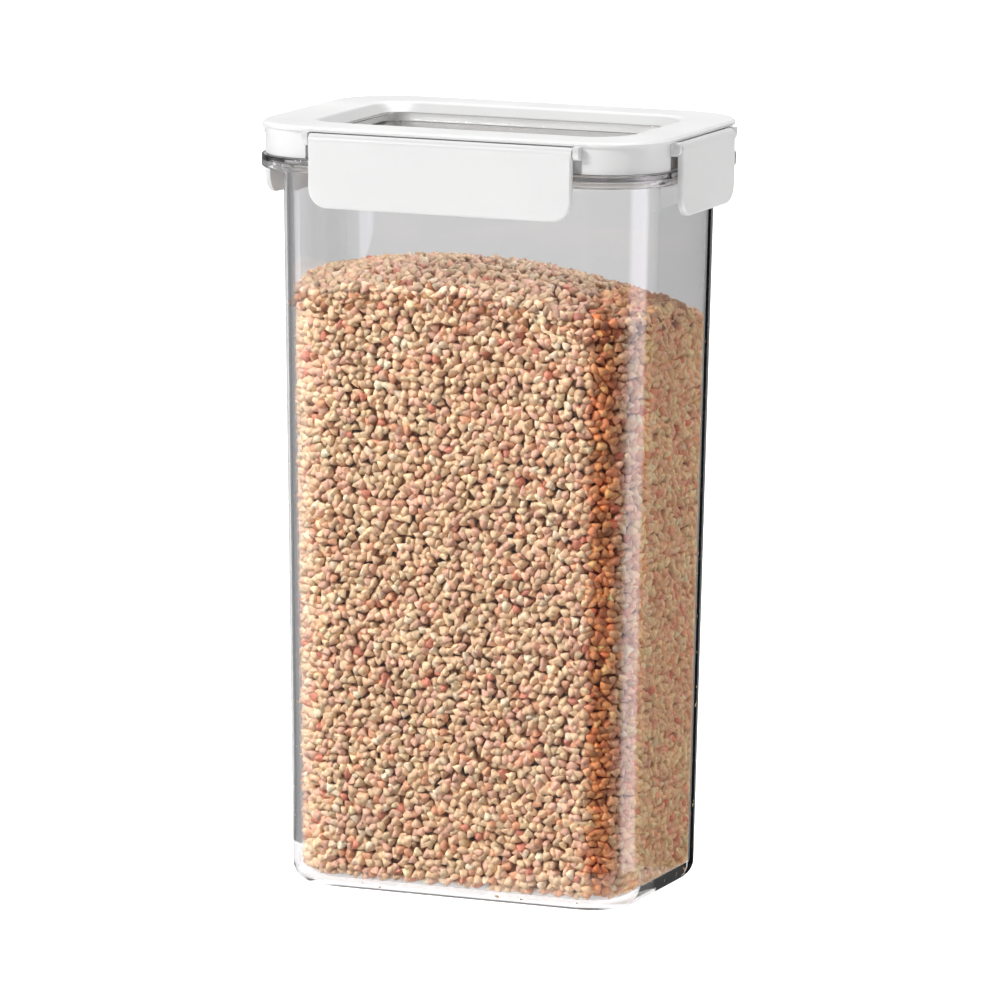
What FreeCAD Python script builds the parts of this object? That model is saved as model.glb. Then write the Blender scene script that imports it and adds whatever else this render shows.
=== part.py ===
import FreeCAD, Part
import math
import os
import re
import Sketcher

# Food storage container: a clear tapered jar and a lid with a clear window, closed by four hinged flaps
# that hook under the jar's flange. Millimetres, +Z up, origin at the centre of the foot, long side along X,
# front facing -Y.

SIZES = {
    # Jar, measured outside at the foot and at the rim
    "base_width": 111.0,
    "base_depth": 72.0,
    "base_corner_radius": 16.0,
    "base_edge_radius": 6.0,
    "mouth_width": 119.0,
    "mouth_depth": 80.0,
    "mouth_corner_radius": 20.0,
    "rim_bevel": 0.6,
    "wall": 2.0,
    "floor_thickness": 2.4,
    "floor_edge_radius": 4.5,
    "foot_width": 5.0,
    "foot_height": 0.5,
    # Flange round the jar's mouth, below a plain neck, with a lip turned down
    "neck_height": 5.0,
    "flange_reach": 5.0,
    "flange_corner_radius": 21.0,
    "flange_height": 3.9,
    "flange_web": 1.7,
    "flange_lip": 1.7,
    "flange_root": 1.0,
    "flange_bevel": 0.5,
    # Lid frame
    "overall_height": 230.0,
    "lip_setback": 0.3,
    "lip_thickness": 1.4,
    "lip_bevel": 0.7,
    "skirt_setback": 0.8,
    "skirt_gap": 0.3,
    "channel_gap": 1.2,
    "border_thickness": 2.0,
    "border_width": 14.0,
    "plug_wall": 1.8,
    "plug_depth": 7.7,
    "recess_corner_radius": 12.0,
    "recess_bevel": 0.6,
    "slope_run": 4.0,
    "slope_drop": 2.8,
    "collar_wall": 2.3,
    # Lid window, a clear panel with a raised rim, bonded under the collar
    "window_gap": 0.2,
    "window_depth": 2.6,
    "panel_thickness": 2.6,
    "wing_thickness": 1.4,
    "tray_wall": 1.6,
    "tray_setback": 0.2,
    "tray_bevel": 0.8,
    # Seal, a channel of silicone that straddles the rim
    "seal_side_gap": 0.3,
    "seal_rim_gap": 0.3,
    "seal_crown": 2.5,
    "seal_lip_drop": 1.4,
    # Locking flaps
    "long_latch_width": 83.0,
    "short_latch_width": 43.0,
    "latch_thickness": 1.8,
    "latch_tab": 6.7,
    "latch_gap": 0.3,
    "latch_corner_radius": 6.0,
    "latch_bevel": 0.5,
    "barrel_radius": 2.0,
    "barrel_gap": 0.3,
    "hook_reach": 2.4,
    "hook_gap": 0.3,
    "hook_tip": 1.2,
    "hook_root": 2.8,
    "hook_inset": 7.0,
    # Hinge pins and the lid's ears that hold them
    "pin_radius": 0.8,
    "pin_fit": 0.02,
    "pin_seat": 1.2,
    "bore_fit": 0.06,
    "ear_radius": 1.7,
    "ear_thickness": 1.8,
    "ear_gap": 0.3,
    "ear_root": 0.8,
    "cut_overrun": 1.0,
}

# Two points closer than this are the same point
SAME_PLACE = 0.001

# Each side of the lid: its turn about Z from the back, the jar's size across it and the flap's width
SIDES = {
    "back": (0, "mouth_depth", "long_latch_width"),
    "left": (90, "mouth_width", "short_latch_width"),
    "front": (180, "mouth_depth", "long_latch_width"),
    "right": (270, "mouth_width", "short_latch_width"),
}

doc = FreeCAD.newDocument("FoodStorageContainer")
sheet = doc.addObject("Spreadsheet::Sheet", "Sizes")
for row, (alias, size) in enumerate(SIZES.items(), start=1):
    sheet.set(f"A{row}", str(size))
    sheet.setAlias(f"A{row}", alias)
doc.recompute()


def cells(text):
    """Writes a sum of size names as an expression on the sheet."""
    return re.sub(r"[a-z_]+", r"Sizes.\g<0>", text)


def measure(text):
    """Works out a sum of size names from the sheet."""
    return float(sheet.evalExpression(cells(text)))


def grown(outline, margin):
    """Moves a rounded outline (width, depth, corner radius) outward by a margin, inward if it is negative."""
    width, depth, radius = outline
    return f"{width} + 2 * ({margin})", f"{depth} + 2 * ({margin})", f"{radius} + ({margin})"


# Heights, worked down from the top of the lid
LIP_UNDERSIDE = "(overall_height - lip_thickness)"
BORDER_UNDERSIDE = "(overall_height - border_thickness)"
SLOPE_BOTTOM = "(overall_height - slope_drop)"
TRAY_TOP = f"({SLOPE_BOTTOM} - tray_setback)"
PANEL_TOP = f"({SLOPE_BOTTOM} - window_depth)"
PANEL_BOTTOM = f"({PANEL_TOP} - panel_thickness)"
COLLAR_BOTTOM = f"({PANEL_BOTTOM} + wing_thickness)"
PIN_HEIGHT = f"({LIP_UNDERSIDE} - barrel_gap - barrel_radius)"
SEAL_GROOVE_TOP = f"({BORDER_UNDERSIDE} - seal_crown)"
RIM = f"({SEAL_GROOVE_TOP} - seal_rim_gap)"
SEAL_BOTTOM = f"({RIM} - seal_lip_drop)"
PLUG_BOTTOM = f"({RIM} - plug_depth)"
FLANGE_TOP = f"({RIM} - neck_height)"
FLANGE_UNDERSIDE = f"({FLANGE_TOP} - flange_height)"
SKIRT_BOTTOM = f"({FLANGE_TOP} + skirt_gap)"

# Distances from a pin's axis, outward and downward
LATCH_INNER_FACE = "(barrel_radius - latch_thickness)"
HOOK_DROP = f"({PIN_HEIGHT} - {FLANGE_UNDERSIDE} + hook_gap)"
LATCH_DROP = f"({HOOK_DROP} + hook_root + latch_tab)"


def jar_outline(height):
    """Gives the jar's outer outline at a height, between the foot and the rim."""
    pairs = (("base_width", "mouth_width"), ("base_depth", "mouth_depth"),
             ("base_corner_radius", "mouth_corner_radius"))
    return tuple(f"{foot} + ({rim} - {foot}) * ({height}) / {RIM}" for foot, rim in pairs)


# Outlines in plan
MOUTH = ("mouth_width", "mouth_depth", "mouth_corner_radius")
FLANGE = ("mouth_width + 2 * flange_reach", "mouth_depth + 2 * flange_reach", "flange_corner_radius")
LIP = grown(FLANGE, "-lip_setback")
SKIRT = grown(LIP, "-skirt_setback")
CHANNEL = grown(MOUTH, "channel_gap")
PLUG = grown(MOUTH, "-wall - channel_gap")
PLUG_BORE = grown(PLUG, "-plug_wall")
RECESS = (f"{LIP[0]} - 2 * border_width", f"{LIP[1]} - 2 * border_width", "recess_corner_radius")
WELL = grown(RECESS, "-slope_run")


def pin_reach(across):
    """Gives the distance of a pin's axis from the middle, for the jar's size across that side."""
    return f"({across} / 2 + flange_reach + latch_gap - {LATCH_INNER_FACE})"


def pin_length(width):
    """Gives a pin's length, seated in both ears, for a flap of that width."""
    return f"({width} + 2 * ear_gap + 2 * pin_seat)"


def bay_length(width):
    """Gives the length of a bay, from outer ear face to outer ear face, for a flap of that width."""
    return f"({width} + 2 * ear_gap + 2 * ear_thickness)"


def new_body(label):
    """Makes an empty body with a node's name."""
    body = doc.addObject("PartDesign::Body", "".join(word.title() for word in label.split("_")))
    body.Label = label
    return body


def sketch_on(body, name, role, height="0"):
    """Attaches a new sketch to one of the body's origin planes, moved along its normal by a height."""
    sketch = body.newObject("Sketcher::SketchObject", name)
    plane = next(item for item in body.Origin.OriginFeatures if item.Role == role)
    sketch.AttachmentSupport = [(plane, "")]
    sketch.MapMode = "FlatFace"
    sketch.setExpression("AttachmentOffset.Base.z", cells(height))
    return sketch


def bind(sketch, name, size, *constraint):
    """Adds a dimension to a sketch and ties it to a sum of size names."""
    index = sketch.addConstraint(Sketcher.Constraint(*constraint, measure(size)))
    sketch.renameConstraint(index, name)
    sketch.setExpression(f"Constraints.{name}", cells(size))


def polyline(sketch, points):
    """Adds a closed run of straight lines through points and returns the index of the first."""
    first = sketch.GeometryCount
    corners = [FreeCAD.Vector(x, y, 0) for x, y in points]
    for start, end in zip(corners, corners[1:] + corners[:1]):
        sketch.addGeometry(Part.LineSegment(start, end))
    for step in range(len(corners)):
        following = first + (step + 1) % len(corners)
        sketch.addConstraint(Sketcher.Constraint("Coincident", first + step, 2, following, 1))
    return first


def rounded_loop(sketch, outline, tag):
    """Adds a rounded rectangle, centred on the sketch's origin: four lines with tangent arcs between."""
    half_width, half_depth, radius = measure(outline[0]) / 2, measure(outline[1]) / 2, measure(outline[2])
    x, y = half_width - radius, half_depth - radius
    runs = (((-x, -half_depth), (x, -half_depth), (x, -y)),
            ((half_width, -y), (half_width, y), (x, y)),
            ((x, half_depth), (-x, half_depth), (-x, y)),
            ((-half_width, y), (-half_width, -y), (-x, -y)))
    first = sketch.GeometryCount
    for turn, (start, end, centre) in enumerate(runs):
        sketch.addGeometry(Part.LineSegment(FreeCAD.Vector(*start, 0), FreeCAD.Vector(*end, 0)))
        circle = Part.Circle(FreeCAD.Vector(*centre, 0), FreeCAD.Vector(0, 0, 1), radius)
        sketch.addGeometry(Part.ArcOfCircle(circle, math.radians(90 * (turn - 1)), math.radians(90 * turn)))
    for step in range(len(runs)):
        line = first + 2 * step
        following = first + 2 * ((step + 1) % len(runs))
        sketch.addConstraint(Sketcher.Constraint("Tangent", line, 2, line + 1, 1))
        sketch.addConstraint(Sketcher.Constraint("Tangent", line + 1, 2, following, 1))
        sketch.addConstraint(Sketcher.Constraint("Vertical" if step % 2 else "Horizontal", line))
    bottom, right, top, left = (first + 2 * step for step in range(len(runs)))
    for arc in (right + 1, top + 1, left + 1):
        sketch.addConstraint(Sketcher.Constraint("Equal", bottom + 1, arc))
    sketch.addConstraint(Sketcher.Constraint("Symmetric", bottom + 1, 3, top + 1, 3, -1, 1))
    bind(sketch, f"{tag}_width", outline[0], "DistanceX", left, 1, right, 1)
    bind(sketch, f"{tag}_depth", outline[1], "DistanceY", bottom, 1, top, 1)
    bind(sketch, f"{tag}_radius", outline[2], "Radius", bottom + 1)


def plan_sketch(body, name, height, outlines):
    """Draws one rounded outline, or an outer and an inner one, at a height."""
    sketch = sketch_on(body, name, "XY_Plane", height)
    for outline, tag in zip(outlines, ("outer", "inner")):
        rounded_loop(sketch, outline, tag)
    return sketch


def pad(body, name, bottom, top, *outlines):
    """Adds a prism with a rounded outline, or a ring between two, from one height to another."""
    feature = body.newObject("PartDesign::Pad", name)
    feature.Profile = plan_sketch(body, f"{name}Sketch", bottom, outlines)
    feature.setExpression("Length", cells(f"{top} - {bottom}"))
    doc.recompute()


def checked_cut(body, feature):
    """Works a cut out and stops if it took nothing away."""
    before = feature.BaseFeature.Shape.Volume
    doc.recompute()
    if feature.Shape.Volume >= before:
        raise RuntimeError(f"{body.Label}: {feature.Name} cuts nothing")


def pocket(body, name, bottom, top, *outlines):
    """Cuts a prism with a rounded outline, or a ring between two, from one height up to another."""
    sketch = plan_sketch(body, f"{name}Sketch", bottom, outlines)
    pocket_sketch(body, name, sketch, f"{top} - {bottom}")


def pocket_sketch(body, name, sketch, depth):
    """Cuts a sketch's outline out of the body, along the sketch's normal."""
    feature = body.newObject("PartDesign::Pocket", name)
    feature.Profile = sketch
    feature.Reversed = True
    feature.setExpression("Length", cells(depth))
    checked_cut(body, feature)


def loft(body, name, kind, bottom, low_outline, top, high_outline):
    """Adds or cuts a straight-sided loft between two rounded outlines."""
    high = plan_sketch(body, f"{name}High", top, [high_outline])
    low = plan_sketch(body, f"{name}Low", bottom, [low_outline])
    feature = body.newObject(f"PartDesign::{kind}Loft", name)
    feature.Profile = high
    feature.Sections = [low]
    feature.Ruled = True
    if kind == "Subtractive":
        checked_cut(body, feature)
    else:
        doc.recompute()


def slab(body, name, sketch, width):
    """Adds a sketch's outline, spread evenly to both sides of the sketch over a width."""
    feature = body.newObject("PartDesign::Pad", name)
    feature.Profile = sketch
    feature.SideType = "Symmetric"
    feature.setExpression("Length", cells(width))
    doc.recompute()


def soften(body, name, kind, size, chosen):
    """Rounds (Fillet) or bevels (Chamfer) the edges of the body that a test picks out."""
    base = body.Tip
    names = [f"Edge{number}" for number, edge in enumerate(base.Shape.Edges, start=1) if chosen(edge)]
    feature = body.newObject(f"PartDesign::{kind}", name)
    feature.Base = (base, names)
    feature.setExpression("Radius" if kind == "Fillet" else "Size", cells(size))
    doc.recompute()


def lies_at(edge, height):
    """Tells whether an edge lies flat at a height."""
    return all(abs(vertex.Z - measure(height)) < SAME_PLACE for vertex in edge.Vertexes)


def within(edge, outline):
    """Tells whether an edge's ends lie inside the rectangle round an outline."""
    half_width, half_depth = measure(outline[0]) / 2, measure(outline[1]) / 2
    return all(abs(end.X) < half_width and abs(end.Y) < half_depth for end in edge.Vertexes)


def runs_along_y(edge):
    """Tells whether an edge's ends differ in Y alone."""
    first, last = edge.Vertexes[0], edge.Vertexes[-1]
    return max(abs(first.X - last.X), abs(first.Z - last.Z)) < SAME_PLACE


def stands_at_y(edge, place):
    """Tells whether an edge lies in the upright plane at a distance along Y."""
    return all(abs(vertex.Y - measure(place)) < SAME_PLACE for vertex in edge.Vertexes)


def make_jar():
    """Makes the jar: a tapered box with a rounded foot, a rolled flange and an open mouth."""
    body = new_body("jar")
    loft(body, "Outside", "Additive", "0", jar_outline("0"), RIM, MOUTH)
    soften(body, "FootRounding", "Fillet", "base_edge_radius", lambda edge: lies_at(edge, "0"))
    foot_hollow = grown(jar_outline("0"), "-base_edge_radius - foot_width")
    pocket(body, "FootHollow", "0", "foot_height", foot_hollow)
    pad(body, "Flange", FLANGE_UNDERSIDE, FLANGE_TOP, FLANGE)
    halfway = grown(MOUTH, "flange_reach / 2")
    flange_faces = (FLANGE_TOP, FLANGE_UNDERSIDE)
    soften(body, "FlangeBevel", "Chamfer", "flange_bevel",
           lambda edge: not within(edge, halfway) and any(lies_at(edge, face) for face in flange_faces))
    pocket(body, "FlangeChannel", FLANGE_UNDERSIDE, f"({FLANGE_TOP} - flange_web)",
           grown(FLANGE, "-flange_lip"), grown(MOUTH, "flange_root"))
    floor_outline = grown(jar_outline("floor_thickness"), "-wall")
    loft(body, "Inside", "Subtractive", "floor_thickness", floor_outline, RIM, grown(MOUTH, "-wall"))
    soften(body, "FloorRounding", "Fillet", "floor_edge_radius", lambda edge: lies_at(edge, "floor_thickness"))
    soften(body, "RimBevel", "Chamfer", "rim_bevel", lambda edge: lies_at(edge, RIM))
    return body


def latch_pocket(body, side):
    """Cuts the flat bay in the lid's skirt that one flap and its ears stand in."""
    turn, across, width = SIDES[side]
    half_length = f"{bay_length(width)} / 2"
    face = f"({pin_reach(across)} - barrel_radius - barrel_gap)"
    outside = f"({across} / 2 + flange_reach + cut_overrun)"
    sketch = sketch_on(body, f"{side.title()}BaySketch", "XY_Plane", SKIRT_BOTTOM)
    spin = FreeCAD.Rotation(FreeCAD.Vector(0, 0, 1), turn)
    sketch.AttachmentOffset = FreeCAD.Placement(FreeCAD.Vector(), spin)
    end, near, far = measure(half_length), measure(face), measure(outside)
    first = polyline(sketch, ((-end, near), (end, near), (end, far), (-end, far)))
    for step, direction in ((1, "Vertical"), (2, "Horizontal"), (3, "Vertical")):
        sketch.addConstraint(Sketcher.Constraint(direction, first + step))
    sketch.addConstraint(Sketcher.Constraint("Symmetric", first, 1, first, 2, -2))
    bind(sketch, "length", bay_length(width), "DistanceX", first, 1, first, 2)
    bind(sketch, "face", face, "DistanceY", -1, 1, first, 1)
    bind(sketch, "outside", outside, "DistanceY", -1, 1, first + 2, 1)
    pocket_sketch(body, f"{side.title()}Bay", sketch, f"{LIP_UNDERSIDE} - {SKIRT_BOTTOM}")


def hinge_sketch(body, name, side, place):
    """Attaches a sketch across a flap's pin, at a place along the pin from its middle."""
    turn, across, _ = SIDES[side]
    sketch = sketch_on(body, name, "YZ_Plane")
    spin = FreeCAD.Rotation(FreeCAD.Vector(0, 1, 0), turn)
    sketch.AttachmentOffset = FreeCAD.Placement(FreeCAD.Vector(), spin)
    outward, along = spin.multVec(FreeCAD.Vector(1, 0, 0)), spin.multVec(FreeCAD.Vector(0, 0, 1))
    for axis in ("x", "z"):
        offset = (f"{round(getattr(outward, axis))} * {pin_reach(across)}"
                  f" + {round(getattr(along, axis))} * {place}")
        sketch.setExpression(f"AttachmentOffset.Base.{axis}", cells(offset))
    sketch.setExpression("AttachmentOffset.Base.y", cells(PIN_HEIGHT))
    return sketch


def ear(body, side, end):
    """Adds the ear for one end of a flap's pin: a cheek under the lip that rounds back to the bay."""
    width = SIDES[side][2]
    root = "(barrel_radius + barrel_gap + ear_root)"
    top = "(barrel_radius + barrel_gap)"
    name = f"{side.title()}Ear{'First' if end < 0 else 'Second'}"
    place = f"({end} * ({width} / 2 + ear_gap + ear_thickness / 2))"
    sketch = hinge_sketch(body, f"{name}Sketch", side, place)
    radius, back, crown = measure("ear_radius"), measure(root), measure(top)
    points = ((radius, 0), (radius, crown), (-back, crown), (-back, -radius), (0, -radius))
    corners = [FreeCAD.Vector(x, y, 0) for x, y in points]
    for start, finish in zip(corners, corners[1:]):
        sketch.addGeometry(Part.LineSegment(start, finish))
    front, crown_line, back_line, bottom = range(len(points) - 1)
    circle = Part.Circle(FreeCAD.Vector(0, 0, 0), FreeCAD.Vector(0, 0, 1), radius)
    curve = sketch.addGeometry(Part.ArcOfCircle(circle, math.radians(-90), 0))
    for line in (front, crown_line, back_line):
        sketch.addConstraint(Sketcher.Constraint("Coincident", line, 2, line + 1, 1))
    sketch.addConstraint(Sketcher.Constraint("Tangent", bottom, 2, curve, 1))
    sketch.addConstraint(Sketcher.Constraint("Tangent", curve, 2, front, 1))
    for line, direction in ((front, "Vertical"), (crown_line, "Horizontal"), (back_line, "Vertical"),
                            (bottom, "Horizontal")):
        sketch.addConstraint(Sketcher.Constraint(direction, line))
    sketch.addConstraint(Sketcher.Constraint("Coincident", curve, 3, -1, 1))
    bind(sketch, "curve_radius", "ear_radius", "Radius", curve)
    bind(sketch, "crown", top, "DistanceY", -1, 1, front, 2)
    bind(sketch, "root", root, "DistanceX", back_line, 1, -1, 1)
    slab(body, name, sketch, "ear_thickness")


def pin_seats(body, side):
    """Drills the blind holes for one pin's ends, both at once, into the two ears that face each other."""
    width = SIDES[side][2]
    name = f"{side.title()}PinSeats"
    sketch = hinge_sketch(body, f"{name}Sketch", side, "0")
    centre, normal = FreeCAD.Vector(0, 0, 0), FreeCAD.Vector(0, 0, 1)
    hole_size = "pin_radius + pin_fit"
    hole = sketch.addGeometry(Part.Circle(centre, normal, measure(hole_size)))
    sketch.addConstraint(Sketcher.Constraint("Coincident", hole, 3, -1, 1))
    bind(sketch, "hole_radius", hole_size, "Radius", hole)
    seats = body.newObject("PartDesign::Pocket", name)
    seats.Profile = sketch
    seats.SideType = "Symmetric"
    seats.setExpression("Length", cells(f"{pin_length(width)} + 2 * pin_fit"))
    checked_cut(body, seats)


def make_lid_frame():
    """Makes the lid's white frame: lip, skirt, plug wall, sloped recess, collar and the flaps' ears."""
    body = new_body("lid_frame")
    pad(body, "LipPlate", LIP_UNDERSIDE, "overall_height", LIP)
    soften(body, "LipBevel", "Chamfer", "lip_bevel", lambda edge: lies_at(edge, "overall_height"))
    pad(body, "Skirt", SKIRT_BOTTOM, LIP_UNDERSIDE, SKIRT)
    pocket(body, "Underside", SKIRT_BOTTOM, BORDER_UNDERSIDE, CHANNEL)
    pad(body, "PlugWall", PLUG_BOTTOM, BORDER_UNDERSIDE, PLUG, PLUG_BORE)
    pad(body, "Collar", COLLAR_BOTTOM, BORDER_UNDERSIDE, grown(WELL, "collar_wall"), WELL)
    pocket(body, "Well", BORDER_UNDERSIDE, "overall_height", WELL)
    loft(body, "Slope", "Subtractive", SLOPE_BOTTOM, WELL, "overall_height", RECESS)
    near_recess = grown(RECESS, "slope_run")
    soften(body, "RecessBevel", "Chamfer", "recess_bevel",
           lambda edge: lies_at(edge, "overall_height") and within(edge, near_recess))
    for side in SIDES:
        latch_pocket(body, side)
        for end in (-1, 1):
            ear(body, side, end)
        pin_seats(body, side)
    return body


def make_lid_window():
    """Makes the lid's clear panel: a flat wing under the border and a shallow tray standing in the well."""
    body = new_body("lid_window")
    tray = grown(WELL, "-window_gap")
    pad(body, "Wing", PANEL_BOTTOM, COLLAR_BOTTOM, grown(PLUG_BORE, "-window_gap"))
    pad(body, "Tray", COLLAR_BOTTOM, TRAY_TOP, tray)
    pocket(body, "TrayHollow", PANEL_TOP, TRAY_TOP, grown(tray, "-tray_wall"))
    soften(body, "TrayBevel", "Chamfer", "tray_bevel", lambda edge: lies_at(edge, PANEL_TOP))
    return body


def make_seal_ring():
    """Makes the seal: a channel section that hangs over the jar's rim on both sides."""
    body = new_body("seal_ring")
    pad(body, "Ring", SEAL_BOTTOM, BORDER_UNDERSIDE, grown(MOUTH, "channel_gap - seal_side_gap"),
        grown(MOUTH, "-wall - channel_gap + seal_side_gap"))
    pocket(body, "RimGroove", SEAL_BOTTOM, SEAL_GROOVE_TOP, grown(MOUTH, "seal_rim_gap"),
           grown(MOUTH, "-wall - seal_rim_gap"))
    return body


def plate_profile(body):
    """Draws a flap's plate in section, hanging from the height of its pin."""
    sketch = sketch_on(body, "PlateSketch", "YZ_Plane")
    inner, outer, drop = measure(LATCH_INNER_FACE), measure("barrel_radius"), measure(LATCH_DROP)
    first = polyline(sketch, ((inner, 0), (inner, -drop), (outer, -drop), (outer, 0)))
    for step, direction in enumerate(("Vertical", "Horizontal", "Vertical", "Horizontal")):
        sketch.addConstraint(Sketcher.Constraint(direction, first + step))
    sketch.addConstraint(Sketcher.Constraint("PointOnObject", first, 1, -1))
    bind(sketch, "outer_face", "barrel_radius", "DistanceX", -1, 1, first + 2, 2)
    bind(sketch, "thickness", "latch_thickness", "DistanceX", first + 1, 1, first + 1, 2)
    bind(sketch, "drop", LATCH_DROP, "DistanceY", first, 2, first, 1)
    return sketch


def circle_profile(body, name, radius):
    """Draws a circle round a flap's pin."""
    sketch = sketch_on(body, name, "YZ_Plane")
    origin, normal = FreeCAD.Vector(0, 0, 0), FreeCAD.Vector(0, 0, 1)
    circle = sketch.addGeometry(Part.Circle(origin, normal, measure(radius)))
    sketch.addConstraint(Sketcher.Constraint("Coincident", circle, 3, -1, 1))
    bind(sketch, "radius", radius, "Radius", circle)
    return sketch


def hook_profile(body):
    """Draws the hook's section: a flat top for the flange's lip and a sloped underside."""
    sketch = sketch_on(body, "HookSketch", "YZ_Plane")
    tip = f"({LATCH_INNER_FACE} - hook_reach)"
    root = f"({LATCH_INNER_FACE} + latch_thickness / 2)"
    left, right, top = measure(tip), measure(root), -measure(HOOK_DROP)
    tip_bottom, root_bottom = top - measure("hook_tip"), top - measure("hook_root")
    first = polyline(sketch, ((left, top), (left, tip_bottom), (right, root_bottom), (right, top)))
    sketch.addConstraint(Sketcher.Constraint("Vertical", first))
    sketch.addConstraint(Sketcher.Constraint("Vertical", first + 2))
    sketch.addConstraint(Sketcher.Constraint("Horizontal", first + 3))
    bind(sketch, "tip", f"0 - {tip}", "DistanceX", first, 1, -1, 1)
    bind(sketch, "root", root, "DistanceX", -1, 1, first + 2, 1)
    bind(sketch, "drop", HOOK_DROP, "DistanceY", first, 1, -1, 1)
    bind(sketch, "tip_thickness", "hook_tip", "DistanceY", first, 2, first, 1)
    bind(sketch, "root_thickness", "hook_root", "DistanceY", first + 2, 1, first + 2, 2)
    return sketch


def make_latch(side):
    """Makes one locking flap, drawn round its pin's axis and then turned to its side of the lid."""
    turn, across, width = SIDES[side]
    body = new_body(f"{side}_latch")
    slab(body, "Plate", plate_profile(body), width)
    soften(body, "CornerRounding", "Fillet", "latch_corner_radius",
           lambda edge: lies_at(edge, f"0 - {LATCH_DROP}") and runs_along_y(edge))
    soften(body, "EdgeBevel", "Chamfer", "latch_bevel",
           lambda edge: stands_at_y(edge, "barrel_radius") and not lies_at(edge, "0"))
    slab(body, "Barrel", circle_profile(body, "BarrelSketch", "barrel_radius"), width)
    slab(body, "Hook", hook_profile(body), f"{width} - 2 * hook_inset")
    bore = body.newObject("PartDesign::Pocket", "Bore")
    bore.Profile = circle_profile(body, "BoreSketch", "pin_radius + bore_fit")
    bore.SideType = "Symmetric"
    bore.setExpression("Length", cells(f"{width} + cut_overrun"))
    checked_cut(body, bore)
    spin = FreeCAD.Rotation(FreeCAD.Vector(0, 0, 1), turn)
    outward = spin.multVec(FreeCAD.Vector(0, 1, 0))
    body.Placement = FreeCAD.Placement(FreeCAD.Vector(), spin)
    for axis in ("x", "y"):
        place = f"{round(getattr(outward, axis))} * {pin_reach(across)}"
        body.setExpression(f"Placement.Base.{axis}", cells(place))
    body.setExpression("Placement.Base.z", cells(PIN_HEIGHT))
    return body


def make_pin(side):
    """Makes one steel hinge pin, from its seat in one ear to its seat in the other."""
    turn, across, width = SIDES[side]
    pin = doc.addObject("Part::Cylinder", f"{side.title()}HingePin")
    pin.Label = f"{side}_hinge_pin"
    pin.setExpression("Radius", cells("pin_radius"))
    pin.setExpression("Height", cells(pin_length(width)))
    spin = FreeCAD.Rotation(FreeCAD.Vector(0, 0, 1), turn)
    outward, along = spin.multVec(FreeCAD.Vector(0, 1, 0)), spin.multVec(FreeCAD.Vector(1, 0, 0))
    pin.Placement = FreeCAD.Placement(FreeCAD.Vector(), FreeCAD.Rotation(FreeCAD.Vector(0, 0, 1), along))
    for axis in ("x", "y"):
        place = (f"{round(getattr(outward, axis))} * {pin_reach(across)}"
                 f" - {round(getattr(along, axis))} * {pin_length(width)} / 2")
        pin.setExpression(f"Placement.Base.{axis}", cells(place))
    pin.setExpression("Placement.Base.z", cells(PIN_HEIGHT))
    return pin


pieces = [make_jar(), make_lid_frame(), make_lid_window(), make_seal_ring()]
for side in SIDES:
    pieces.append(make_latch(side))
    pieces.append(make_pin(side))
doc.recompute()

for item in doc.Objects:
    if "Invalid" in item.State or "Error" in item.State:
        raise RuntimeError(f"{item.Label} failed: {item.State}")
for piece in pieces:
    if piece.Shape.isNull() or not piece.Shape.isValid() or len(piece.Shape.Solids) != 1:
        raise RuntimeError(f"{piece.Label} has no sound solid")

os.makedirs("parts", exist_ok=True)
for piece in pieces:
    piece.Shape.exportStep(f"parts/{piece.Label}.step")
    box = piece.Shape.BoundBox
    print(f"{piece.Label}: {piece.Shape.Volume / 1000:.2f} cm3, x {box.XMin:.2f} {box.XMax:.2f}, "
          f"y {box.YMin:.2f} {box.YMax:.2f}, z {box.ZMin:.2f} {box.ZMax:.2f}")
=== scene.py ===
import math

import bpy
import numpy as np
from mathutils import Matrix, Vector


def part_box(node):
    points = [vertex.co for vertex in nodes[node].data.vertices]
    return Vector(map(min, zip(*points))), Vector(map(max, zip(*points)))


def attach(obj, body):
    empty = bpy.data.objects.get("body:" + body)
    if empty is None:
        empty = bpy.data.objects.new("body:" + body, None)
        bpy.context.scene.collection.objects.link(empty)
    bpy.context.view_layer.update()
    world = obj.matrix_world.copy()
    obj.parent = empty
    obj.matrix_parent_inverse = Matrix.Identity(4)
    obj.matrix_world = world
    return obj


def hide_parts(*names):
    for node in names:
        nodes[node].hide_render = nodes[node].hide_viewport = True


# Food storage container: a clear tapered jar under a white lid with a clear window and four locking flaps.
# Metres, +Z up, origin at the centre of the foot, front facing -Y.

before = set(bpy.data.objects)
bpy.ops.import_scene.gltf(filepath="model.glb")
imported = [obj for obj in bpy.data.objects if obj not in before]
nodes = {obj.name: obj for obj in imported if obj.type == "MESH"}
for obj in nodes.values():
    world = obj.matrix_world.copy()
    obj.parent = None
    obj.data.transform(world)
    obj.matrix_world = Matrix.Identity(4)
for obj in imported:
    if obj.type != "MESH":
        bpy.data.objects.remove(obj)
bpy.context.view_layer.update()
MM = 0.001

# Jar: outlines are half width, half depth and corner radius
jar_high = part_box("jar")[1]
RIM = jar_high.z
FLANGE = np.array((jar_high.x, jar_high.y, 21.0 * MM))
FLANGE_REACH = 5.0 * MM
DRAFT = 4.0 * MM
MOUTH = np.array((jar_high.x - FLANGE_REACH, jar_high.y - FLANGE_REACH, 20.0 * MM))
FOOT = MOUTH - DRAFT
WALL = 2.0 * MM
INSIDE_ROUNDER = 1.0 * MM
INSIDE = FOOT + np.array((0, 0, INSIDE_ROUNDER))
FLOOR = 2.4 * MM
FOOT_ROUND = 6.0 * MM
FOOT_RING = 5.0 * MM
FOOT_HOLLOW = 0.5 * MM
FLOOR_ROUND = 4.5 * MM
RIM_ROUND = 0.6 * MM
NECK = 5.0 * MM
FLANGE_HEIGHT = 3.9 * MM
FLANGE_WEB = 1.7 * MM
FLANGE_LIP = 1.7 * MM
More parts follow.
